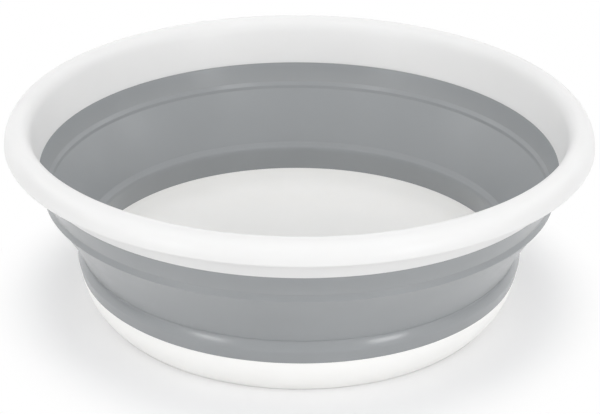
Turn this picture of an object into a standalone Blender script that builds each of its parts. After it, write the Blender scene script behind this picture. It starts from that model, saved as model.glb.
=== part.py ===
"""Collapsible camp washbasin: a rolled rim, an elastomer wall that folds inside itself, and a base pan.

Metres, +Z up. The origin is the centre of the foot ring, on the surface that the basin stands on.
Every piece is turned about the Z axis. The rim and the upper band drop along it when the basin collapses.
The elastomer is one moulding on the real basin. It is cut here at its two hinge lines, with a thin gap.
"""

import math

import bmesh
import bpy
from mathutils import Vector

# How finely the turned shapes are faceted
ROUND_STEPS = 64
CURVE_STEPS = 6
BEAD_STEPS = 4

# The stack of heights, from the ground up
PAN_HEIGHT = 0.0266
LOWER_BAND_HEIGHT = 0.0095
LEDGE_HEIGHT = 0.0043
FOLDING_BAND_HEIGHT = 0.0411
FOLD_FACE_HEIGHT = 0.0043
UPPER_BAND_HEIGHT = 0.0129
RIM_WALL_HEIGHT = 0.0171
LIP_RISE = 0.0135

# The outside radius at the seam under the rim, and how far each band draws in or out below it
BOWL_RADIUS = 0.1714
UPPER_BAND_DRAW_IN = 0.0024
FOLD_FACE_DRAW_IN = 0.0013
FOLDING_BAND_DRAW_IN = 0.0260
LEDGE_WIDTH = 0.0044
LOWER_BAND_DRAW_IN = 0.0013
PAN_DRAW_IN = 0.0141

# Rim
LIP_OUTER_WIDTH = 0.0090
LIP_INNER_WIDTH = 0.0118
THROAT_FLARE = 0.0005
LIP_WALL = 0.0024
LIP_EDGE_ROUND = 0.0009
RIM_TONGUE_DEPTH = 0.0070
RIM_TONGUE_WALL = 0.0010

# Elastomer wall
UPPER_BAND_WALL = 0.0027
FOLDING_BAND_WALL = 0.0028
UPPER_SEAM_STEP = 0.0015
LOWER_SEAM_STEP = 0.0020
HINGE_LAND = 0.0016
HINGE_THINNING = 0.0008
HINGE_TAPER = 0.0025
RIDGE_RISE = 0.0010
RIDGE_WIDTH = 0.0026
LOWER_RIDGE_LIFT = 0.0012

# Base pan
PAN_WALL = 0.0034
PAN_TONGUE_RISE = 0.0085
PAN_TONGUE_WALL = 0.0013
PAN_CORNER_HEIGHT = 0.0112
PAN_CORNER_DRAW_IN = 0.0020
FLOOR_THICKNESS = 0.0024
FOOT_RING_WIDTH = 0.0060
FOOT_RING_HEIGHT = 0.0012
FOOT_RING_SLOPE = 0.0012
FLOOR_CORNER_INSET = 0.0047

# The gap between pieces that touch on the real basin
CLEARANCE = 0.0003

WHITE = (0.88, 0.88, 0.87, 1.0)
GREY = (0.32, 0.335, 0.345, 1.0)
WHITE_ROUGHNESS = 0.38
GREY_ROUGHNESS = 0.5
SMOOTH_ANGLE = math.radians(40)

# Heights of the rings where the outline turns
LOWER_SEAM_Z = PAN_HEIGHT
LEDGE_Z = LOWER_SEAM_Z + LOWER_BAND_HEIGHT
CREASE_Z = LEDGE_Z + LEDGE_HEIGHT
FOLD_Z = CREASE_Z + FOLDING_BAND_HEIGHT
FOLD_FACE_Z = FOLD_Z + FOLD_FACE_HEIGHT
UPPER_SEAM_Z = FOLD_FACE_Z + UPPER_BAND_HEIGHT
LIP_EDGE_Z = UPPER_SEAM_Z + RIM_WALL_HEIGHT

# The rings themselves, as (radius, height), from the seam under the rim down to the foot
UPPER_SEAM = Vector((BOWL_RADIUS, UPPER_SEAM_Z))
FOLD_FACE_TOP = Vector((UPPER_SEAM.x - UPPER_BAND_DRAW_IN, FOLD_FACE_Z))
FOLD = Vector((FOLD_FACE_TOP.x - FOLD_FACE_DRAW_IN, FOLD_Z))
CREASE = Vector((FOLD.x - FOLDING_BAND_DRAW_IN, CREASE_Z))
LEDGE = Vector((CREASE.x + LEDGE_WIDTH, LEDGE_Z))
LOWER_SEAM = Vector((LEDGE.x - LOWER_BAND_DRAW_IN, LOWER_SEAM_Z))
FOOT = Vector((LOWER_SEAM.x - PAN_DRAW_IN, 0.0))

# How far up the folding band the lower ridge reaches from the crease
LOWER_RIDGE_REACH = LOWER_RIDGE_LIFT + RIDGE_WIDTH / 2

# Inner ends of the two seams
UPPER_SEAM_INNER = Vector((UPPER_SEAM.x - UPPER_BAND_WALL, UPPER_SEAM.y - UPPER_SEAM_STEP))
LOWER_SEAM_INNER = Vector((LOWER_SEAM.x - PAN_WALL, LOWER_SEAM.y - LOWER_SEAM_STEP))

# Along the folding band, from the fold down to the crease, and square to it, into the bowl
DOWN_BAND = (CREASE - FOLD).normalized()
INTO_BOWL = Vector((DOWN_BAND.y, -DOWN_BAND.x))


def material(name, colour, roughness):
    """A plain moulded plastic."""
    made = bpy.data.materials.new(name)
    made.use_nodes = True
    shader = made.node_tree.nodes["Principled BSDF"]
    shader.inputs["Base Color"].default_value = colour
    shader.inputs["Roughness"].default_value = roughness
    shader.inputs["Metallic"].default_value = 0.0
    made.diffuse_color = colour
    return made


def arc(centre, half_width, half_height, first_angle, last_angle, steps=CURVE_STEPS):
    """Points on an ellipse in the profile plane, both ends included."""
    angles = [first_angle + (last_angle - first_angle) * i / steps for i in range(steps + 1)]
    return [centre + Vector((half_width * math.cos(a), half_height * math.sin(a))) for a in angles]


def bend(first, middle, last, steps=CURVE_STEPS):
    """Points on a quadratic curve that leaves first and reaches last along the lines to middle."""
    shares = [i / steps for i in range(steps + 1)]
    return [first * (1 - s) ** 2 + middle * 2 * s * (1 - s) + last * s ** 2 for s in shares]


def ridge(before, crest_base, after):
    """A low round ridge on the inside face: from before, over the crest, to after."""
    crest = crest_base + INTO_BOWL * RIDGE_RISE
    return bend(before, crest + (crest - (before + after) / 2), after, BEAD_STEPS)


def turned(name, profile, finish, parent, closed=True):
    """A solid turned about Z from a profile of (radius, height). An open one gets a flat disc at each end."""
    mesh = bpy.data.meshes.new(name)
    solid = bmesh.new()
    points = [solid.verts.new((p.x, 0.0, p.y)) for p in profile]
    pairs = list(zip(points, points[1:]))
    if closed:
        pairs.append((points[-1], points[0]))
    edges = [solid.edges.new(pair) for pair in pairs]
    bmesh.ops.spin(
        solid,
        geom=points + edges,
        cent=(0.0, 0.0, 0.0),
        axis=(0.0, 0.0, 1.0),
        angle=2 * math.pi,
        steps=ROUND_STEPS,
        use_merge=True,
    )
    open_edges = [e for e in solid.edges if e.is_boundary]
    if open_edges:
        bmesh.ops.holes_fill(solid, edges=open_edges, sides=0)
    bmesh.ops.recalc_face_normals(solid, faces=solid.faces)
    solid.to_mesh(mesh)
    solid.free()
    mesh.shade_smooth()
    mesh.set_sharp_from_angle(angle=SMOOTH_ANGLE)
    mesh.materials.append(finish)
    made = bpy.data.objects.new(name, mesh)
    bpy.context.scene.collection.objects.link(made)
    made.parent = parent
    return made


def axis_empty(name):
    """An empty on the slide's axis, which the pieces of one moving body hang from."""
    made = bpy.data.objects.new(name, None)
    bpy.context.scene.collection.objects.link(made)
    return made


def tongue_face(top, lean, offset, height):
    """A point on a tongue's or slot's face: offset from the band's middle, which leans with the band."""
    return Vector((top.x + offset - (top.y - height) * lean, height))


def upper_band_middle():
    """The middle of the upper band at its top, and how far it leans in for each metre down."""
    top = Vector((UPPER_SEAM.x - UPPER_BAND_WALL / 2, UPPER_SEAM.y))
    return top, UPPER_BAND_DRAW_IN / UPPER_BAND_HEIGHT


def lower_band_middle():
    """The middle of the pan's wall at the lower seam. The tongue there stands upright."""
    return Vector((LOWER_SEAM.x - PAN_WALL / 2, LOWER_SEAM.y))


def rim(finish, parent):
    """The upright wall, the rolled lip that is open underneath, and the tongue below the wall."""
    crest_radius = UPPER_SEAM_INNER.x + THROAT_FLARE + LIP_INNER_WIDTH
    centre = Vector((crest_radius, LIP_EDGE_Z))
    inner = arc(centre, LIP_INNER_WIDTH, LIP_RISE, math.pi, math.pi / 2)
    outer = arc(centre, LIP_OUTER_WIDTH, LIP_RISE, math.pi / 2, 0.0)
    edge_centre = Vector((crest_radius + LIP_OUTER_WIDTH - LIP_WALL / 2, LIP_EDGE_Z))
    edge = arc(edge_centre, LIP_WALL / 2, LIP_EDGE_ROUND, 0.0, -math.pi, BEAD_STEPS)
    under_outer = arc(centre, LIP_OUTER_WIDTH - LIP_WALL, LIP_RISE - LIP_WALL, 0.0, math.pi / 2)
    under_inner = arc(centre, LIP_INNER_WIDTH - LIP_WALL, LIP_RISE - LIP_WALL, math.pi / 2, math.pi)
    middle, lean = upper_band_middle()
    half = RIM_TONGUE_WALL / 2
    outer_shoulder = UPPER_SEAM.y + CLEARANCE
    inner_shoulder = UPPER_SEAM_INNER.y + CLEARANCE
    foot = UPPER_SEAM.y - RIM_TONGUE_DEPTH
    tongue = [
        Vector((UPPER_SEAM.x, outer_shoulder)),
        tongue_face(middle, lean, half, outer_shoulder),
        tongue_face(middle, lean, half, foot),
        tongue_face(middle, lean, -half, foot),
        tongue_face(middle, lean, -half, inner_shoulder),
        Vector((UPPER_SEAM_INNER.x, inner_shoulder)),
    ]
    profile = inner + outer[1:] + edge[1:] + under_outer[1:] + under_inner[1:] + tongue
    return turned("rim", profile, finish, parent)


def upper_band(finish, parent):
    """The band that grips the rim's tongue and ends just below the fold, with the ridge inside."""
    middle, lean = upper_band_middle()
    half = RIM_TONGUE_WALL / 2 + CLEARANCE
    floor = UPPER_SEAM.y - RIM_TONGUE_DEPTH - CLEARANCE
    slot = [
        tongue_face(middle, lean, -half, UPPER_SEAM_INNER.y),
        tongue_face(middle, lean, -half, floor),
        tongue_face(middle, lean, half, floor),
        tongue_face(middle, lean, half, UPPER_SEAM.y),
    ]
    cut = FOLD + DOWN_BAND * HINGE_LAND
    corner = FOLD + INTO_BOWL * FOLDING_BAND_WALL
    up_inside = (UPPER_SEAM_INNER - corner).normalized()
    inside = ridge(corner + DOWN_BAND * (RIDGE_WIDTH / 2), corner, corner + up_inside * (RIDGE_WIDTH / 2))
    profile = [UPPER_SEAM, FOLD_FACE_TOP, FOLD, cut]
    profile += [cut + INTO_BOWL * (FOLDING_BAND_WALL - HINGE_THINNING)]
    profile += inside + [UPPER_SEAM_INNER] + slot
    return turned("upper_wall_band", profile, finish, parent)


def folding_band(finish, parent):
    """The sloping band between the two hinge lines, thinner inside at the fold and outside at the crease."""
    top = FOLD + DOWN_BAND * (HINGE_LAND + CLEARANCE)
    bottom = CREASE - DOWN_BAND * (LOWER_RIDGE_REACH + CLEARANCE)
    inside = INTO_BOWL * FOLDING_BAND_WALL
    profile = [
        top,
        bottom - DOWN_BAND * HINGE_TAPER,
        bottom + INTO_BOWL * HINGE_THINNING,
        bottom + inside,
        top + DOWN_BAND * HINGE_TAPER + inside,
        top + INTO_BOWL * (FOLDING_BAND_WALL - HINGE_THINNING),
    ]
    return turned("folding_wall_band", profile, finish, parent)


def lower_band(finish, parent):
    """The thick band below the crease, with its round shoulder outside, that grips the pan's tongue."""
    middle = lower_band_middle()
    half = PAN_TONGUE_WALL / 2 + CLEARANCE
    ceiling = LOWER_SEAM.y + PAN_TONGUE_RISE + CLEARANCE
    slot = [
        tongue_face(middle, 0.0, half, LOWER_SEAM.y),
        tongue_face(middle, 0.0, half, ceiling),
        tongue_face(middle, 0.0, -half, ceiling),
        tongue_face(middle, 0.0, -half, LOWER_SEAM_INNER.y),
    ]
    cut = CREASE - DOWN_BAND * LOWER_RIDGE_REACH
    corner = CREASE + INTO_BOWL * FOLDING_BAND_WALL
    down_inside = (LOWER_SEAM_INNER - corner).normalized()
    crest = corner - DOWN_BAND * LOWER_RIDGE_LIFT
    inside = ridge(corner + down_inside * LOWER_RIDGE_LIFT, crest, cut + INTO_BOWL * FOLDING_BAND_WALL)
    shoulder = arc(Vector((CREASE.x, LEDGE.y)), LEDGE_WIDTH, LEDGE_HEIGHT, 0.0, math.pi / 2)
    profile = [LOWER_SEAM] + shoulder + [cut + INTO_BOWL * HINGE_THINNING]
    profile += list(reversed(inside)) + [LOWER_SEAM_INNER] + list(reversed(slot))
    return turned("lower_wall_band", profile, finish, parent)


def base_pan(finish, parent):
    """The dish with its rounded corner, its foot ring, and the tongue that stands up into the lower band."""
    middle = lower_band_middle()
    half = PAN_TONGUE_WALL / 2
    outer_shoulder = LOWER_SEAM.y - CLEARANCE
    inner_shoulder = LOWER_SEAM_INNER.y - CLEARANCE
    tongue_top = LOWER_SEAM.y + PAN_TONGUE_RISE
    outer_corner = Vector((LOWER_SEAM.x - PAN_CORNER_DRAW_IN, PAN_CORNER_HEIGHT))
    inner_corner = outer_corner + Vector((-PAN_WALL, -FLOOR_THICKNESS))
    floor_z = FOOT_RING_HEIGHT + FLOOR_THICKNESS
    floor_edge = Vector((FOOT.x - FLOOR_CORNER_INSET, floor_z))
    ring_inner = FOOT.x - FOOT_RING_WIDTH
    dish = bend(Vector((LOWER_SEAM_INNER.x, inner_shoulder)), inner_corner, floor_edge)
    side = bend(Vector((LOWER_SEAM.x, outer_shoulder)), outer_corner, FOOT)
    tongue = [
        tongue_face(middle, 0.0, half, outer_shoulder),
        tongue_face(middle, 0.0, half, tongue_top),
        tongue_face(middle, 0.0, -half, tongue_top),
        tongue_face(middle, 0.0, -half, inner_shoulder),
    ]
    under = [
        Vector((ring_inner, 0.0)),
        Vector((ring_inner - FOOT_RING_SLOPE, FOOT_RING_HEIGHT)),
    ]
    profile = list(reversed(dish)) + list(reversed(tongue)) + side + under
    return turned("base_pan", profile, finish, parent, closed=False)


def build():
    """Clears the scene and makes the two bodies: the base, and the rim that slides down over it."""
    for old in list(bpy.data.objects):
        bpy.data.objects.remove(old, do_unlink=True)
    base_body = axis_empty("base_axis")
    rim_body = axis_empty("rim_axis")
    rim(material("rim_polypropylene", WHITE, WHITE_ROUGHNESS), rim_body)
    upper_band(material("upper_band_elastomer", GREY, GREY_ROUGHNESS), rim_body)
    folding_band(material("folding_band_elastomer", GREY, GREY_ROUGHNESS), base_body)
    lower_band(material("lower_band_elastomer", GREY, GREY_ROUGHNESS), base_body)
    base_pan(material("pan_polypropylene", WHITE, WHITE_ROUGHNESS), base_body)


build()
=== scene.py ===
"""Studio scene of a collapsible camp washbasin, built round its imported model.

Laid out as a Blender add-on: sizes and finishes are properties, each piece has an operator, and the sidebar
lists them. Every piece is turned about Z from a profile of radius and height, in metres, in the model's
frame. The sizes that the camera sees were fitted to the photograph, inside the box of the solids.
"""

import math
import bpy
import numpy as np
from mathutils import Matrix, Vector


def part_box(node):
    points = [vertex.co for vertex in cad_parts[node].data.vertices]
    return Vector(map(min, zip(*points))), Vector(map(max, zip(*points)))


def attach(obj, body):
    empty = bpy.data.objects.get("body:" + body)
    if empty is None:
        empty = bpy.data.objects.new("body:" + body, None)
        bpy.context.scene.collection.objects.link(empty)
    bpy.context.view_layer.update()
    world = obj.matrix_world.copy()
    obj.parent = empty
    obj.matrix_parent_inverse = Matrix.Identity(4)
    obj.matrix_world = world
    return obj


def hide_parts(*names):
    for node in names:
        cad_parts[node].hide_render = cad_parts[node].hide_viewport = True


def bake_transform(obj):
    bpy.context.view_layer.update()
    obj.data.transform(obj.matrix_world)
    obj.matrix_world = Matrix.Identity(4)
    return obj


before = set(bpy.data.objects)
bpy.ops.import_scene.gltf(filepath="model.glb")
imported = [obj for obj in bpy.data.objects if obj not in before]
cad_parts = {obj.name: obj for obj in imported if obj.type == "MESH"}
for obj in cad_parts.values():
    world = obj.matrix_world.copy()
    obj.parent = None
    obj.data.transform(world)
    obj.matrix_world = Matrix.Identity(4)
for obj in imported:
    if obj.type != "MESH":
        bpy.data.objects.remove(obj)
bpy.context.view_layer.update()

bl_info = {
    "name": "Camp washbasin studio",
    "version": (1, 0, 0),
    "blender": (4, 5, 0),
    "location": "View3D > Sidebar > Washbasin",
    "description": "Makes the finished pieces of a collapsible washbasin, its studio and its camera",
    "category": "Object",
}

RIM_LOW, RIM_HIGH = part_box("rim")
_, UPPER_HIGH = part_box("upper_wall_band")
LOWER_LOW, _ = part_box("lower_wall_band")
_, PAN_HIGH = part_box("base_pan")

# How finely the turned surfaces are divided
SEGMENTS = 256
ARC_STEPS = 24
CORNER_STEPS = 6
BOW_STEPS = 8
LONGEST_RUN = 0.0016
SHARP_ANGLE = math.radians(50)

# Limits of a rounded corner: its share of the next run, its smallest half angle, and its shortest step
LONGEST_CUT = 0.45
SMALLEST_HALF_ANGLE = 0.01
SHORTEST_STEP = 1e-7

# The mouldings' optics, the scales of their noises, and how far the roughness strays to either side
PLASTIC_IOR = 1.49
SUBSURFACE_TINT = (1.0, 0.95, 0.9)
SHEEN_ROUGHNESS = 0.5
CLOUD_SCALE = 9.0
CLOUD_EDGES = (0.35, 0.65)
RIPPLE_SCALE = 45.0
RUB_SCALE = 70.0
GRAIN_SCALE = 1400.0
ROUGHNESS_SPREAD = 0.05

# The room's light as rows of height and shade, in front and elsewhere. A height is the sine of the angle
# above the horizon. The edges say how far round to the front the one turns into the other.
ROOM_STRENGTH = 3.0
FRONT_SHADES = (
    (0.0, 0.08), (0.12, 0.10), (0.22, 0.40), (0.30, 0.56),
    (0.46, 0.56), (0.56, 0.42), (0.84, 0.38), (0.90, 0.49),
)
REST_SHADES = (
    (0.0, 0.0), (0.16, 0.05), (0.25, 1.0), (0.38, 1.0), (0.47, 0.05),
    (0.60, 0.05), (0.68, 0.16), (0.84, 0.16), (0.90, 0.49),
)
FRONT_EDGES = (0.20, 0.60)

# The soft boxes: name, azimuth and elevation in degrees, distance, width and height in metres, and watts
LAMP_AIM = Vector((0, 0, 0.06))
LAMPS = (
    ("left_soft_box", -42, 6, 3.0, 0.8, 0.30, 7.8),
    ("right_soft_box", 42, 6, 3.0, 0.8, 0.30, 10.4),
    ("left_high_box", -43, 50, 3.0, 0.6, 0.40, 2.4),
    ("right_high_box", 38, 50, 3.0, 0.6, 0.40, 2.8),
    ("left_side_box", -103, 30, 1.5, 0.7, 0.15, 0.4),
    ("right_side_box", 104, 30, 1.5, 0.7, 0.15, 0.4),
)

# The dark cards beside the set: name and azimuth in degrees, then what both cards share
CARDS = (("left_dark_card", -93), ("right_dark_card", 95))
CARD_DISTANCE = 1.0
CARD_HALF_WIDTH = 0.4
CARD_HEIGHT = 0.4
CARD_BLACK = (0.02, 0.02, 0.02, 1)
CARD_ROUGHNESS = 0.9


def length(name, description, default):
    """A size in metres."""
    return bpy.props.FloatProperty(
        name=name, description=description, default=default, precision=5, subtype="DISTANCE", unit="LENGTH"
    )


def share(name, description, default):
    """A share from nothing to the whole."""
    return bpy.props.FloatProperty(
        name=name, description=description, default=default, min=0.0, subtype="FACTOR"
    )


def angle(name, description, degrees):
    """An angle, written in degrees and kept in radians."""
    return bpy.props.FloatProperty(
        name=name, description=description, default=math.radians(degrees), subtype="ANGLE", unit="ROTATION"
    )


def colour(name, description, default):
    """A linear colour."""
    return bpy.props.FloatVectorProperty(
        name=name, description=description, default=default, size=3, min=0.0, max=1.0, subtype="COLOR"
    )


class RimSizes(bpy.types.PropertyGroup):
    """The white ring: leaning inner wall, rolled lip and the tongue that the grey wall grips."""

    reach: length("Outer radius", "From the axis to the lip's outer edge", RIM_HIGH.x)
    crest: length("Crest height", "From the ground to the top of the lip", RIM_HIGH.z)
    rise: length("Lip rise", "From the lip's edge up to its crest", 0.0135)
    outer_width: length("Lip outer width", "From the crest out to the lip's edge", 0.0099)
    inner_width: length("Lip inner width", "From the crest in to where the roll would be upright", 0.0078)
    throat_turn: angle("Throat turn", "How far short of that the roll runs into the leaning inner wall", 17)
    wall: length("Lip wall", "Thickness of the rolled lip", 0.0024)
    edge_round: length("Edge round", "How far the lip's edge bows down", 0.0009)
    tongue_wall: length("Tongue wall", "Thickness of the hidden tongue", 0.0010)
    tongue_foot: length("Tongue foot", "Height of the tongue's lower end", RIM_LOW.z)


class WallSizes(bpy.types.PropertyGroup):
    """The grey moulding: upper band, folding band and lower band, with a ridge inside at each hinge."""

    seam_radius: length("Seam radius", "Outside radius under the rim", UPPER_HIGH.x)
    seam_height: length("Seam height", "Height of the seam under the rim, outside", UPPER_HIGH.z)
    seam_step: length("Seam step", "How much lower the same seam lies inside", 0.0015)
    upper_wall: length("Upper wall", "Thickness of the upper band at its seam", 0.0027)
    face_radius: length("Fold face radius", "Radius at the top of the steep face above the fold", 0.1656)
    face_flare: length("Fold face flare", "How far that face leans out towards its lower edge", 0.0010)
    face_top: length("Fold face top", "Height of that face's upper edge", 0.0846)
    face_bottom: length("Fold face bottom", "Height of that face's lower edge", 0.0802)
    fold_radius: length("Fold radius", "Outside radius where the folding band starts", 0.1658)
    fold_height: length("Fold height", "Height where the folding band starts", 0.0799)
    crease_radius: length("Crease radius", "Outside radius where band and shoulder would meet", 0.1436)
    crease_height: length("Crease height", "Height where band and shoulder would meet", 0.0420)
    crease_cove: length("Crease cove", "How far up the band the hollow of the crease reaches", 0.0050)
    crease_width: length("Crease width", "From that corner out to the groove at the hollow's foot", 0.0005)
    crease_groove: length("Crease groove", "Depth and half width of that groove", 0.00015)
    crease_tuck: share("Crease tuck", "The hollow's turn under its foot, as a share of the facet", 0.1)
    ledge_radius: length("Ledge radius", "Outside radius of the shoulder under the crease", 0.1466)
    ledge_drop: length("Ledge drop", "From the crease down to the widest ring of the shoulder", 0.0072)
    facet_out: length("Facet width", "How far out the shoulder's facet runs from the crease", 0.0008)
    facet_down: length("Facet drop", "How far down that facet runs", 0.0007)
    shoulder_start: length("Shoulder start", "How far its upper end keeps the facet's slope", 0.0009)
    shoulder_end: length("Shoulder end", "How far its lower end keeps upright", 0.0012)
    lower_radius: length("Lower seam radius", "Outside radius of the seam above the pan", PAN_HIGH.x)
    lower_height: length("Lower seam height", "Height of the seam above the pan, outside", 0.0266)
    lower_inner_height: length("Lower seam height inside", "Height of the same seam inside", LOWER_LOW.z)
    upper_ridge_radius: length("Upper ridge radius", "Inside radius of the ridge at the fold", 0.1629)
    upper_ridge_top: length("Upper ridge top", "Height where that ridge leaves the upper band", 0.0842)
    upper_ridge_out: length("Upper ridge hollow", "How far the band stands back above that ridge", 0.0014)
    upper_ridge_crest: length("Upper ridge crest", "Height of that ridge's crest", 0.0817)
    upper_ridge_foot: length("Upper ridge foot", "Height where that ridge meets the folding band", 0.0796)
    lower_ridge_radius: length("Lower ridge radius", "Inside radius of the ridge at the crease", 0.1384)
    lower_ridge_top: length("Lower ridge top", "Height where that ridge leaves the folding band", 0.0456)
    lower_ridge_out: length("Lower ridge bead", "How far its bead stands back from that radius", 0.0013)
    lower_ridge_crest: length("Lower ridge crest", "Height of that bead", 0.0434)
    lower_ridge_foot: length("Lower ridge foot", "Height where its rounded face ends", 0.0400)
    lower_ridge_turn: share("Lower ridge turn", "How soon that face turns, as a share of the bead", 0.6)
    ridge_round: length("Ridge round", "Radius of the ridges' crests", 0.0006)
    ridge_fillet: length("Ridge fillet", "Radius of the hollows beside the ridges", 0.0007)
    band_wall: length("Folding wall", "Thickness of the folding band", 0.0028)
    band_bow: length("Bow", "How far the middle of the folding band bows into the bowl, outside", 0.0010)
    inner_bow: length("Inner bow", "How far it bows into the bowl inside", 0.0005)
    hinge_start: length("Hinge start", "Along the folding band, where it starts to fold", 0.0022)
    hinge_end: length("Hinge end", "Along the folding band, where it stops folding", 0.0385)
    corner_round: length("Corner round", "Radius of the seams' and edges' corners", 0.00025)


class PanSizes(bpy.types.PropertyGroup):
    """The white dish: rounded corner, foot ring and the tongue that the grey wall grips."""

    wall: length("Pan wall", "Thickness of the pan's side", 0.0034)
    tongue_wall: length("Tongue wall", "Thickness of the hidden tongue", 0.0013)
    tongue_top: length("Tongue top", "Height of the tongue's upper end", PAN_HIGH.z)
    corner_height: length("Corner height", "Height that the round corner bends at", 0.0112)
    corner_draw_in: length("Corner draw-in", "How far the side draws in above the corner", 0.0020)
    foot_radius: length("Foot radius", "Outside radius of the foot ring", 0.1307)
    foot_width: length("Foot width", "Width of the foot ring", 0.0060)
    foot_height: length("Foot height", "How far the floor is recessed above the foot ring", 0.0012)
    floor_wall: length("Floor wall", "Thickness of the floor", 0.0024)
    floor_inset: length("Floor inset", "From the foot's radius in to where the flat floor starts", 0.0300)
    gate_radius: length("Gate radius", "Radius of the moulding mark under the floor", 0.0032)
    gate_depth: length("Gate depth", "Depth of that mark", 0.0004)


class Finishes(bpy.types.PropertyGroup):
    """Colours and roughness of the white polypropylene and the grey elastomer."""

    # Rim and pan are the same white polypropylene. The rim's white is darker as painted shade, because its
    # top is lit strongly, and the pan's white is lighter as painted light, because its sides are lit less.
    rim_white_with_painted_shade: colour("Rim white", "Base colour of the rim", (0.756, 0.756, 0.755))
    pan_white_with_painted_light: colour("Pan white", "Base colour of the pan", (0.940, 0.936, 0.921))
    white_shade: share("White shade", "How much of the white is left where it is a little greyer", 0.975)
    white_roughness: share("White roughness", "Roughness of the polypropylene", 0.36)
    grey: colour("Grey", "Base colour of the elastomer", (0.298, 0.311, 0.321))
    grey_shade: share("Grey shade", "How much of the grey is left where it is a little darker", 0.945)
    grey_roughness: share("Grey roughness", "Roughness of the elastomer", 0.22)


class StudioSettings(bpy.types.PropertyGroup):
    """Camera and floor."""

    distance: length("Camera distance", "From the aim point to the camera", 1.25)
    aim_height: length("Aim height", "Height of the point that the camera looks at", 0.060)
    elevation: angle("Camera elevation", "How far the camera looks down", 25.87)
    roll: angle("Camera roll", "How far the camera is turned about its view", 0.378)
    lens: bpy.props.FloatProperty(name="Lens", description="Focal length in millimetres", default=113.3)
    shift_across: share("Shift across", "Sideways shift of the picture, as a share of its width", 0.0015)
    shift_up: share("Shift up", "Upward shift of the picture, as a share of its width", 0.0023)
    floor_size: length("Floor size", "Side of the square floor", 6.0)
    floor_near: length("Floor near", "Radius within which the floor shows its shadow in full", 0.150)
    floor_fade: length("Floor fade", "Radius past which the floor is plain white", 0.215)
    floor_pale: colour("Floor", "Base colour of the floor near the basin", (0.91, 0.91, 0.915))
    floor_bounce: colour("Floor bounce", "Base colour for its light on the basin", (0.79, 0.79, 0.79))


def arc(centre, half_width, half_height, first, last, steps=ARC_STEPS):
    """Rows (radius, height, 0) on an ellipse: centre plus half sizes times the turn's cosine and sine."""
    turn = np.linspace(first, last, steps + 1)
    return np.column_stack(
        [centre[0] + half_width * np.cos(turn), centre[1] + half_height * np.sin(turn), 0 * turn]
    )


def bend(*corners):
    """Rows on a Bezier curve: the sum of C(n, k) t^k (1 - t)^(n - k) times control point k."""
    t = np.linspace(0, 1, ARC_STEPS + 1)[:, None]
    last = len(corners) - 1
    shares = [math.comb(last, k) * t**k * (1 - t) ** (last - k) for k in range(last + 1)]
    points = sum(part * np.array(corner) for part, corner in zip(shares, corners))
    return np.column_stack([points, 0 * t])


def bowed(first, last, bow):
    """Rows on the parabola from first to last whose middle stands off the straight line by bow.

    Their corner radii are so large that rounding joins the rows into one smooth curve.
    """
    t = np.linspace(0, 1, BOW_STEPS + 1)[:, None]
    points = first + t * (last - first) + 4 * t * (1 - t) * bow
    return np.column_stack([points, 1 + 0 * t])


def rounded(rows):
    """Points of an outline from (radius, height, corner radius) rows, each corner made a quadratic curve.

    The curve starts and ends at the fillet's tangent points, within LONGEST_CUT of the next corner.
    """
    points, radii = rows[:, :2], rows[:, 2]
    before = np.roll(points, 1, 0) - points
    after = np.roll(points, -1, 0) - points
    before_length = np.linalg.norm(before, axis=1)
    after_length = np.linalg.norm(after, axis=1)
    before /= before_length[:, None]
    after /= after_length[:, None]
    half_angle = np.arccos(np.clip((before * after).sum(1), -1, 1)) / 2
    cut = radii / np.tan(np.clip(half_angle, SMALLEST_HALF_ANGLE, None))
    cut = np.minimum(cut, LONGEST_CUT * np.minimum(before_length, after_length))[:, None]
    t = np.linspace(0, 1, CORNER_STEPS + 1)[None, :, None]
    start, end = (points + before * cut)[:, None], (points + after * cut)[:, None]
    curve = (1 - t) ** 2 * start + 2 * t * (1 - t) * points[:, None] + t**2 * end
    flat = curve.reshape(-1, 2)
    return flat[np.linalg.norm(flat - np.roll(flat, 1, 0), axis=1) > SHORTEST_STEP]


def spaced(points, closed):
    """The outline with its straight runs divided, so that none is longer than LONGEST_RUN."""
    ahead = np.roll(points, -1, 0) if closed else np.vstack([points[1:], points[-1:]])
    counts = np.maximum(1, np.ceil(np.linalg.norm(ahead - points, axis=1) / LONGEST_RUN)).astype(int)
    index = np.repeat(np.arange(len(points)), counts)
    step = np.arange(counts.sum()) - np.repeat(np.cumsum(counts) - counts, counts)
    return points[index] + (ahead - points)[index] * (step / counts[index])[:, None]


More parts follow.
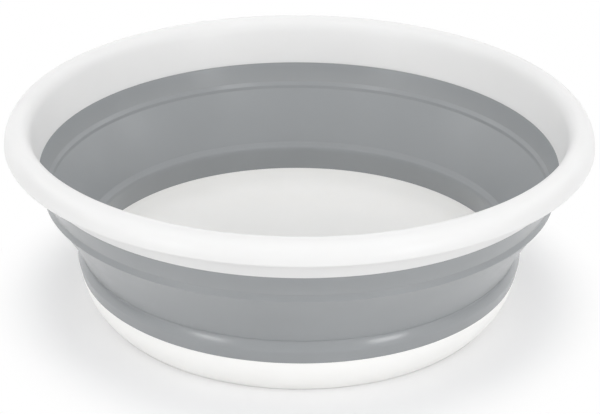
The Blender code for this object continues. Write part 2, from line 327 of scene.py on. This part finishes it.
def turned(name, profile, finish, poles=False):
    """A closed surface turned about Z: x = r cos a, y = r sin a, z = h for each profile point and angle a.

    With poles, the profile runs from the axis back to the axis, and a fan of triangles closes each end.
    """
    turn = 2 * np.pi * np.arange(SEGMENTS)[:, None] / SEGMENTS
    ring = profile[1:-1] if poles else profile
    count = len(ring)
    grid = np.stack([ring[:, 0] * np.cos(turn), ring[:, 0] * np.sin(turn), ring[:, 1] + 0 * turn], 2)
    points = grid.reshape(-1, 3)
    i = np.arange(SEGMENTS)[:, None]
    after = (i + 1) % SEGMENTS
    j = np.arange(count - 1 if poles else count)[None, :]
    above = (j + 1) % count
    quads = np.stack([i * count + j, i * count + above, after * count + above, after * count + j], 2)
    corners = [quads.reshape(-1)]
    sizes = [np.full(quads.shape[0] * quads.shape[1], 4)]
    if poles:
        first, last = len(points), len(points) + 1
        ends = [[0.0, 0.0, profile[0, 1]], [0.0, 0.0, profile[-1, 1]]]
        points = np.vstack([points, ends])
        i, after = i[:, 0], after[:, 0]
        opening = np.column_stack([np.full(SEGMENTS, first), i * count, after * count])
        end = count - 1
        closing = np.column_stack([np.full(SEGMENTS, last), after * count + end, i * count + end])
        corners += [opening.reshape(-1), closing.reshape(-1)]
        sizes += [np.full(2 * SEGMENTS, 3)]
    corners, sizes = np.concatenate(corners), np.concatenate(sizes)
    mesh = bpy.data.meshes.new(name)
    mesh.vertices.add(len(points))
    mesh.vertices.foreach_set("co", points.ravel())
    mesh.loops.add(len(corners))
    mesh.loops.foreach_set("vertex_index", corners)
    mesh.polygons.add(len(sizes))
    mesh.polygons.foreach_set("loop_start", np.cumsum(sizes) - sizes)
    mesh.update(calc_edges=True)
    mesh.shade_smooth()
    mesh.set_sharp_from_angle(angle=SHARP_ANGLE)
    mesh.materials.append(finish)
    piece = bpy.data.objects.new(name, mesh)
    bpy.context.scene.collection.objects.link(piece)
    return piece


def wall_lean(wall):
    """How far the upper band leans in for each metre down."""
    return (wall.seam_radius - wall.face_radius) / (wall.seam_height - wall.face_top)


def tongue_lean(wall):
    """The same for the upper band's middle line, which the rim's tongue follows."""
    run = wall.seam_height - wall.seam_step - wall.upper_ridge_top
    return wall_lean(wall) - wall.upper_ridge_out / run / 2


def tongue_middle(wall):
    """Where that middle line crosses the height of the outside seam."""
    inner_lean = 2 * tongue_lean(wall) - wall_lean(wall)
    return wall.seam_radius - (wall.upper_wall - inner_lean * wall.seam_step) / 2, wall.seam_height


def tongue(middle, lean, half, top, foot, other_top):
    """Rows down one face of a tongue and up the other, each half off the leaning middle line."""
    heights = np.array([top, foot, foot, other_top])
    sides = np.array([1, 1, -1, -1])
    radii = middle[0] + sides * half - lean * (middle[1] - heights)
    return np.column_stack([radii, heights, 0 * heights])


def rim_profile(rim, wall):
    """Rows from the throat over the rolled lip and its edge, back under it, and round the hidden tongue.

    The inner wall is the straight run from the last row back up to the throat.
    """
    centre = (rim.reach - rim.outer_width, rim.crest - rim.rise)
    edge_centre = (rim.reach - rim.wall / 2, centre[1])
    under = rim.rise - rim.wall
    throat = math.pi - rim.throat_turn
    middle = tongue_middle(wall)
    inner_seam = wall.seam_height - wall.seam_step
    half = rim.tongue_wall / 2
    hidden = tongue(middle, tongue_lean(wall), half, wall.seam_height, rim.tongue_foot, inner_seam)
    rows = [
        arc(centre, rim.inner_width, rim.rise, throat, math.pi / 2),
        arc(centre, rim.outer_width, rim.rise, math.pi / 2, 0)[1:],
        arc(edge_centre, rim.wall / 2, rim.edge_round, 0, -math.pi, CORNER_STEPS)[1:],
        arc(centre, rim.outer_width - rim.wall, under, 0, math.pi / 2)[1:],
        arc(centre, rim.inner_width - rim.wall, under, math.pi / 2, throat)[1:],
        [[wall.seam_radius, wall.seam_height, wall.corner_round]],
        hidden,
        [[wall.seam_radius - wall.upper_wall, inner_seam, wall.corner_round]],
    ]
    return spaced(rounded(np.vstack(rows)), closed=True)


def fold_line(wall):
    """The folding band's outer line: its top, its bottom, and the directions down it and into the bowl."""
    top = np.array([wall.fold_radius, wall.fold_height])
    bottom = np.array([wall.crease_radius, wall.crease_height])
    down = (bottom - top) / np.linalg.norm(bottom - top)
    return top, bottom, down, np.array([down[1], -down[0]])


def wall_outside(wall):
    """Rows from the upper seam down over the fold face, the folding band, the crease and the shoulder."""
    top, bottom, down, inward = fold_line(wall)
    groove = wall.crease_groove
    facet = np.array([wall.facet_out, -wall.facet_down])
    edge = bottom + facet
    ledge = (wall.ledge_radius, wall.crease_height - wall.ledge_drop)
    upper = edge + facet * wall.shoulder_start / np.linalg.norm(facet)
    lower = (wall.ledge_radius, ledge[1] + wall.shoulder_end)
    band = bowed(top, bottom - down * wall.crease_cove, inward * wall.band_bow)
    band[[0, -1], 2] = wall.corner_round, 0
    ending = band[-1, :2] - band[-2, :2]
    ending *= wall.crease_cove / np.linalg.norm(ending) / 2
    foot = bottom + facet * wall.crease_width / wall.facet_out
    cove = bend(band[-1, :2], band[-1, :2] + ending, foot - (0, groove) - facet * wall.crease_tuck, foot)
    return [
        [[wall.seam_radius, wall.seam_height, wall.corner_round]],
        [[wall.face_radius, wall.face_top, wall.corner_round]],
        [[wall.face_radius + wall.face_flare, wall.face_bottom, wall.corner_round]],
        band,
        cove[1:],
        [[*(foot + (groove, -groove)), groove]],
        [[*(foot + facet * 2 * groove / wall.facet_out), 0]],
        bend(edge, upper, lower, ledge),
        [[wall.lower_radius, wall.lower_height, wall.corner_round]],
    ]


def wall_inside(wall, pan):
    """Rows from the lower seam up over the lower ridge, the folding band and the upper ridge."""
    top, _, down, inward = fold_line(wall)
    face = top + inward * wall.band_wall
    ends = np.array([wall.lower_ridge_top, wall.upper_ridge_foot])
    first, last = np.column_stack([face[0] + (ends - face[1]) * down[0] / down[1], ends])
    band = bowed(first, last, inward * wall.inner_bow)
    band[[0, -1], 2] = wall.corner_round, wall.ridge_fillet
    bead = (wall.lower_ridge_radius + wall.lower_ridge_out, wall.lower_ridge_crest)
    bead_turn = (wall.lower_ridge_radius, bead[1] - wall.lower_ridge_turn * wall.lower_ridge_out)
    bead_foot = (wall.lower_ridge_radius, wall.lower_ridge_foot)
    seam_radius = wall.seam_radius - wall.upper_wall
    seam_height = wall.seam_height - wall.seam_step
    hollow = seam_radius - wall_lean(wall) * (seam_height - wall.upper_ridge_top) + wall.upper_ridge_out
    return [
        [[wall.lower_radius - pan.wall, wall.lower_inner_height, wall.corner_round]],
        bend(bead_foot, bead_turn, bead),
        band,
        [[wall.upper_ridge_radius, wall.upper_ridge_crest, wall.ridge_round]],
        [[hollow, wall.upper_ridge_top, wall.ridge_fillet]],
        [[seam_radius, seam_height, wall.corner_round]],
    ]


def wall_profile(rim, wall, pan):
    """The whole outline of the grey moulding, with the slots that grip the tongues."""
    low_middle = (wall.lower_radius - pan.wall / 2, wall.lower_height)
    high_middle, lean = tongue_middle(wall), tongue_lean(wall)
    inner_seam = wall.seam_height - wall.seam_step
    low_half, high_half = pan.tongue_wall / 2, rim.tongue_wall / 2
    low_slot = tongue(low_middle, 0, low_half, wall.lower_height, pan.tongue_top, wall.lower_inner_height)
    high_slot = tongue(high_middle, lean, high_half, wall.seam_height, rim.tongue_foot, inner_seam)
    rows = [*wall_outside(wall), low_slot, *wall_inside(wall, pan), high_slot[::-1]]
    return spaced(rounded(np.vstack(rows)), closed=True)


def pan_profile(wall, pan):
    """From the middle of the floor out, up the inside, round the tongue, and down and under the floor."""
    middle = (wall.lower_radius - pan.wall / 2, wall.lower_height)
    floor = pan.foot_height + pan.floor_wall
    outer_corner = np.array([wall.lower_radius - pan.corner_draw_in, pan.corner_height])
    inner_corner = outer_corner - np.array([pan.wall, pan.floor_wall])
    ring_inner = pan.foot_radius - pan.foot_width
    seam_inner = (wall.lower_radius - pan.wall, wall.lower_inner_height)
    flat_end = (pan.foot_radius - pan.floor_inset, floor)
    half = pan.tongue_wall / 2
    hidden = tongue(middle, 0, half, wall.lower_height, pan.tongue_top, wall.lower_inner_height)
    rows = [
        [[0, floor, 0]],
        bend(flat_end, (pan.foot_radius, floor), inner_corner, seam_inner)[:-1],
        [[*seam_inner, wall.corner_round]],
        hidden[::-1],
        [[wall.lower_radius, wall.lower_height, wall.corner_round]],
        bend((wall.lower_radius, wall.lower_height), outer_corner, (pan.foot_radius, 0))[1:-1],
        [[pan.foot_radius, 0, pan.foot_height]],
        [[ring_inner, 0, pan.foot_height / 2]],
        [[ring_inner - pan.foot_height, pan.foot_height, pan.foot_height / 2]],
        [[pan.gate_radius, pan.foot_height, 0]],
        [[pan.gate_radius - pan.gate_depth, pan.foot_height + pan.gate_depth, 0]],
        [[0, pan.foot_height + pan.gate_depth, 0]],
    ]
    return spaced(rounded(np.vstack(rows)), closed=False)


def node(tree, kind, **values):
    """A shader node with its properties and unlinked inputs set. Input names have _ for a space."""
    made = tree.nodes.new(kind)
    for key, value in values.items():
        socket = made.inputs.get(key.replace("_", " "))
        if hasattr(made, key):
            setattr(made, key, value)
        elif socket is not None:
            socket.default_value = value
        else:
            raise ValueError(f"{kind} has no {key}")
    return made


def moulded(name, main, shade, roughness, grain, ripple, subsurface, depth, sheen):
    """A satin moulded plastic.

    On Object coordinates, one noise blends the two shades of the colour, one varies the roughness, and two
    make the surface's fine grain and its slow ripple as bump.
    """
    made = bpy.data.materials.new(name)
    made.use_nodes = True
    tree = made.node_tree
    shader = tree.nodes["Principled BSDF"]
    shader.inputs["IOR"].default_value = PLASTIC_IOR
    shader.inputs["Subsurface Weight"].default_value = subsurface
    shader.inputs["Subsurface Radius"].default_value = SUBSURFACE_TINT
    shader.inputs["Subsurface Scale"].default_value = depth
    shader.inputs["Sheen Weight"].default_value = sheen
    shader.inputs["Sheen Roughness"].default_value = SHEEN_ROUGHNESS
    place = node(tree, "ShaderNodeTexCoord")
    clouds = node(tree, "ShaderNodeTexNoise", Scale=CLOUD_SCALE, Detail=3.0, Roughness=0.55)
    tint = node(tree, "ShaderNodeMix", data_type="RGBA")
    tint.inputs["A"].default_value = (*(shade * part for part in main), 1)
    tint.inputs["B"].default_value = (*main, 1)
    spread = node(tree, "ShaderNodeMapRange", From_Min=CLOUD_EDGES[0], From_Max=CLOUD_EDGES[1])
    rub = node(tree, "ShaderNodeTexNoise", Scale=RUB_SCALE, Detail=4.0)
    smooth, rough = roughness - ROUGHNESS_SPREAD, roughness + ROUGHNESS_SPREAD
    satin = node(tree, "ShaderNodeMapRange", To_Min=smooth, To_Max=rough)
    fine = node(tree, "ShaderNodeTexNoise", Scale=GRAIN_SCALE, Detail=2.0)
    slow = node(tree, "ShaderNodeTexNoise", Scale=RIPPLE_SCALE, Detail=1.0)
    grain_bump = node(tree, "ShaderNodeBump", Strength=1.0, Distance=grain)
    ripple_bump = node(tree, "ShaderNodeBump", Strength=1.0, Distance=ripple)
    for noise in (clouds, rub, fine, slow):
        tree.links.new(place.outputs["Object"], noise.inputs["Vector"])
    tree.links.new(clouds.outputs["Fac"], spread.inputs["Value"])
    tree.links.new(spread.outputs["Result"], tint.inputs["Factor"])
    tree.links.new(tint.outputs["Result"], shader.inputs["Base Color"])
    tree.links.new(rub.outputs["Fac"], satin.inputs["Value"])
    tree.links.new(satin.outputs["Result"], shader.inputs["Roughness"])
    tree.links.new(fine.outputs["Fac"], grain_bump.inputs["Height"])
    tree.links.new(slow.outputs["Fac"], ripple_bump.inputs["Height"])
    tree.links.new(ripple_bump.outputs["Normal"], grain_bump.inputs["Normal"])
    tree.links.new(grain_bump.outputs["Normal"], shader.inputs["Normal"])
    return made


def white_plastic(name, white, finishes):
    """Satin white polypropylene, a little translucent."""
    return moulded(
        name, white, finishes.white_shade, finishes.white_roughness,
        grain=0.00001, ripple=0.00005, subsurface=0.15, depth=0.004, sheen=0.0,
    )


def grey_elastomer(finishes):
    """Satin grey elastomer with a soft bloom."""
    return moulded(
        "satin_grey_elastomer", finishes.grey, finishes.grey_shade, finishes.grey_roughness,
        grain=0.000015, ripple=0.00006, subsurface=0.25, depth=0.003, sheen=0.06,
    )


class BASIN_OT_make_rim(bpy.types.Operator):
    """Makes the white rolled rim, which rides on the rim body"""

    bl_idname = "basin.make_rim"
    bl_label = "Make the rolled rim"

    def execute(self, context):
        scene = context.scene
        profile = rim_profile(scene.basin_rim, scene.basin_wall)
        finishes = scene.basin_finishes
        # The rim's white is darkened here as painted shade
        finish = white_plastic("rim_polypropylene", finishes.rim_white_with_painted_shade, finishes)
        piece = turned("rolled_rim", profile, finish)
        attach(piece, "rim")
        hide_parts("rim")
        return {"FINISHED"}


class BASIN_OT_make_wall(bpy.types.Operator):
    """Makes the grey wall in one piece, which lies between the rim body and the base body"""

    bl_idname = "basin.make_wall"
    bl_label = "Make the folding wall"

    def execute(self, context):
        scene = context.scene
        wall = scene.basin_wall
        profile = wall_profile(scene.basin_rim, wall, scene.basin_pan)
        piece = turned("folding_wall", profile, grey_elastomer(scene.basin_finishes))
        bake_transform(piece)
        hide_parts("upper_wall_band", "folding_wall_band", "lower_wall_band")
        return {"FINISHED"}


class BASIN_OT_make_pan(bpy.types.Operator):
    """Makes the white base pan, which rides on the base body"""

    bl_idname = "basin.make_pan"
    bl_label = "Make the base pan"

    def execute(self, context):
        scene = context.scene
        profile = pan_profile(scene.basin_wall, scene.basin_pan)
        finishes = scene.basin_finishes
        # The pan's white is lightened here as painted light
        finish = white_plastic("pan_polypropylene", finishes.pan_white_with_painted_light, finishes)
        piece = turned("dished_base", profile, finish, poles=True)
        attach(piece, "base")
        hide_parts("base_pan")
        return {"FINISHED"}


def white_where_seen(tree, lit, lit_socket):
    """Mixes plain white, for camera, glossy and transmission rays, over what the other rays meet."""
    path = node(tree, "ShaderNodeLightPath")
    seen = node(tree, "ShaderNodeMath", operation="ADD", use_clamp=True)
    through = node(tree, "ShaderNodeMath", operation="ADD", use_clamp=True)
    mix = node(tree, "ShaderNodeMixShader")
    tree.links.new(path.outputs["Is Camera Ray"], seen.inputs[0])
    tree.links.new(path.outputs["Is Glossy Ray"], seen.inputs[1])
    tree.links.new(seen.outputs[0], through.inputs[0])
    tree.links.new(path.outputs["Is Transmission Ray"], through.inputs[1])
    tree.links.new(through.outputs[0], mix.inputs[0])
    tree.links.new(lit.outputs[lit_socket], mix.inputs[1])
    return mix


def height_ramp(tree, shades):
    """A ramp that turns height into a shade, from rows of (height, shade)."""
    ramp = node(tree, "ShaderNodeValToRGB")
    stops = ramp.color_ramp.elements
    (first, first_shade), (last, last_shade) = shades[0], shades[-1]
    stops[0].position, stops[0].color = first, (first_shade, first_shade, first_shade, 1)
    stops[1].position, stops[1].color = last, (last_shade, last_shade, last_shade, 1)
    for height, shade in shades[1:-1]:
        stops.new(height).color = (shade, shade, shade, 1)
    return ramp


def make_world():
    """A soft white room, of strength 1 where it is seen.

    Its light comes from a low ring at the sides and back, from a broad glow in front, and from overhead.
    """
    world = bpy.data.worlds.new("soft_room")
    world.use_nodes = True
    tree = world.node_tree
    tree.nodes.clear()
    seen = node(tree, "ShaderNodeBackground", Color=(1, 1, 1, 1), Strength=1.0)
    lit = node(tree, "ShaderNodeBackground", Color=(1, 1, 1, 1))
    place = node(tree, "ShaderNodeTexCoord")
    split = node(tree, "ShaderNodeSeparateXYZ")
    rest, ahead = height_ramp(tree, REST_SHADES), height_ramp(tree, FRONT_SHADES)
    near, far = FRONT_EDGES
    front = node(tree, "ShaderNodeMapRange", interpolation_type="SMOOTHSTEP", From_Min=-near, From_Max=-far)
    both = node(tree, "ShaderNodeMix", data_type="FLOAT")
    bright = node(tree, "ShaderNodeMath", operation="MULTIPLY")
    bright.inputs[1].default_value = ROOM_STRENGTH
    tree.links.new(place.outputs["Generated"], split.inputs["Vector"])
    tree.links.new(split.outputs["Z"], rest.inputs["Fac"])
    tree.links.new(split.outputs["Z"], ahead.inputs["Fac"])
    tree.links.new(split.outputs["Y"], front.inputs["Value"])
    tree.links.new(front.outputs["Result"], both.inputs["Factor"])
    tree.links.new(rest.outputs["Color"], both.inputs["A"])
    tree.links.new(ahead.outputs["Color"], both.inputs["B"])
    tree.links.new(both.outputs["Result"], bright.inputs[0])
    tree.links.new(bright.outputs["Value"], lit.inputs["Strength"])
    mix = white_where_seen(tree, lit, "Background")
    output = node(tree, "ShaderNodeOutputWorld")
    tree.links.new(seen.outputs["Background"], mix.inputs[2])
    tree.links.new(mix.outputs["Shader"], output.inputs["Surface"])
    bpy.context.scene.world = world


def make_floor(studio):
    """A pale floor that keeps the basin's shadow near it and is plain white further out."""
    half = studio.floor_size / 2
    mesh = bpy.data.meshes.new("studio_floor")
    corners = np.array([[-half, -half, 0], [half, -half, 0], [half, half, 0], [-half, half, 0]])
    mesh.from_pydata(corners, [], [(0, 1, 2, 3)])
    floor = bpy.data.objects.new("studio_floor", mesh)
    bpy.context.scene.collection.objects.link(floor)
    finish = bpy.data.materials.new("white_sweep")
    finish.use_nodes = True
    tree = finish.node_tree
    tree.nodes.clear()
    bounce = node(tree, "ShaderNodeBsdfDiffuse", Color=(*studio.floor_bounce, 1))
    pale = node(tree, "ShaderNodeBsdfDiffuse", Color=(*studio.floor_pale, 1))
    white = node(tree, "ShaderNodeEmission", Color=(1, 1, 1, 1), Strength=1.0)
    place = node(tree, "ShaderNodeTexCoord")
    away = node(tree, "ShaderNodeVectorMath", operation="LENGTH")
    fade = node(
        tree, "ShaderNodeMapRange", interpolation_type="SMOOTHSTEP",
        From_Min=studio.floor_near, From_Max=studio.floor_fade,
    )
    near = node(tree, "ShaderNodeMixShader")
    output = node(tree, "ShaderNodeOutputMaterial")
    tree.links.new(place.outputs["Object"], away.inputs[0])
    tree.links.new(away.outputs["Value"], fade.inputs["Value"])
    tree.links.new(fade.outputs["Result"], near.inputs[0])
    tree.links.new(pale.outputs[0], near.inputs[1])
    tree.links.new(white.outputs[0], near.inputs[2])
    mix = white_where_seen(tree, bounce, 0)
    tree.links.new(near.outputs[0], mix.inputs[2])
    tree.links.new(mix.outputs[0], output.inputs["Surface"])
    mesh.materials.append(finish)


def make_lamp(name, azimuth, elevation, distance, width, height, power):
    """A soft box that looks at the basin. Azimuth 0 is the camera's side, and it grows to the right."""
    turn, rise = math.radians(azimuth), math.radians(elevation)
    towards = Vector((math.sin(turn) * math.cos(rise), -math.cos(turn) * math.cos(rise), math.sin(rise)))
    data = bpy.data.lights.new(name, "AREA")
    data.shape = "RECTANGLE"
    data.size, data.size_y = width, height
    data.energy = power
    lamp = bpy.data.objects.new(name, data)
    lamp.location = LAMP_AIM + towards * distance
    lamp.rotation_euler = towards.to_track_quat("Z", "Y").to_euler()
    lamp.visible_camera = False
    bpy.context.scene.collection.objects.link(lamp)


def make_card(name, azimuth):
    """A dark card beside the set, seen only in reflections, so that the sides have something to reflect."""
    turn = math.radians(azimuth)
    centre = np.array([math.sin(turn), -math.cos(turn), 0]) * CARD_DISTANCE
    across = np.array([math.cos(turn), math.sin(turn), 0]) * CARD_HALF_WIDTH
    up = np.array([0, 0, CARD_HEIGHT])
    mesh = bpy.data.meshes.new(name)
    corners = np.array([centre - across, centre + across, centre + across + up, centre - across + up])
    mesh.from_pydata(corners, [], [(0, 1, 2, 3)])
    card = bpy.data.objects.new(name, mesh)
    bpy.context.scene.collection.objects.link(card)
    finish = bpy.data.materials.new(name)
    finish.use_nodes = True
    shader = finish.node_tree.nodes["Principled BSDF"]
    shader.inputs["Base Color"].default_value = CARD_BLACK
    shader.inputs["Roughness"].default_value = CARD_ROUGHNESS
    mesh.materials.append(finish)
    card.visible_camera = card.visible_diffuse = card.visible_shadow = False


def make_camera(studio):
    """The photograph's view: aimed at the basin's middle, turned by the roll and shifted a pixel or two."""
    data = bpy.data.cameras.new("photo_view")
    data.lens = studio.lens
    data.sensor_width = 36.0
    data.shift_x, data.shift_y = studio.shift_across, studio.shift_up
    data.dof.use_dof = False
    camera = bpy.data.objects.new("photo_view", data)
    back = Vector((0, -math.cos(studio.elevation), math.sin(studio.elevation)))
    camera.location = Vector((0, 0, studio.aim_height)) + back * studio.distance
    turn = back.to_track_quat("Z", "Y").to_matrix() @ Matrix.Rotation(studio.roll, 3, "Z")
    camera.rotation_euler = turn.to_euler()
    bpy.context.scene.collection.objects.link(camera)
    bpy.context.scene.camera = camera


class BASIN_OT_make_stage(bpy.types.Operator):
    """Makes the white floor and room, the soft boxes, the dark cards and the camera"""

    bl_idname = "basin.make_stage"
    bl_label = "Make the studio"

    def execute(self, context):
        studio = context.scene.basin_studio
        make_world()
        make_floor(studio)
        for lamp in LAMPS:
            make_lamp(*lamp)
        for card in CARDS:
            make_card(*card)
        make_camera(studio)
        context.scene.view_settings.view_transform = "Standard"
        return {"FINISHED"}


GROUPS = (
    ("basin_rim", RimSizes),
    ("basin_wall", WallSizes),
    ("basin_pan", PanSizes),
    ("basin_finishes", Finishes),
    ("basin_studio", StudioSettings),
)
OPERATORS = (BASIN_OT_make_rim, BASIN_OT_make_wall, BASIN_OT_make_pan, BASIN_OT_make_stage)


class BASIN_PT_sidebar(bpy.types.Panel):
    """Lists the basin's operators, sizes and finishes"""

    bl_idname = "BASIN_PT_sidebar"
    bl_label = "Camp washbasin"
    bl_space_type = "VIEW_3D"
    bl_region_type = "UI"
    bl_category = "Washbasin"

    def draw(self, context):
        for operator in OPERATORS:
            self.layout.operator(operator.bl_idname)
        for name, group in GROUPS:
            box = self.layout.box()
            box.label(text=name.replace("_", " "))
            for key in group.__annotations__:
                box.prop(getattr(context.scene, name), key)


def register():
    """Registers the groups, operators and panel, and hangs the groups on the scene."""
    for name, group in GROUPS:
        bpy.utils.register_class(group)
        setattr(bpy.types.Scene, name, bpy.props.PointerProperty(type=group))
    for item in (*OPERATORS, BASIN_PT_sidebar):
        bpy.utils.register_class(item)


def unregister():
    """Takes back what register did."""
    for item in (BASIN_PT_sidebar, *reversed(OPERATORS)):
        bpy.utils.unregister_class(item)
    for name, group in reversed(GROUPS):
        delattr(bpy.types.Scene, name)
        bpy.utils.unregister_class(group)


def main():
    register()
    bpy.ops.basin.make_rim()
    bpy.ops.basin.make_wall()
    bpy.ops.basin.make_pan()
    bpy.ops.basin.make_stage()
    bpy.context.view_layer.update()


if __name__ == "__main__":
    main()
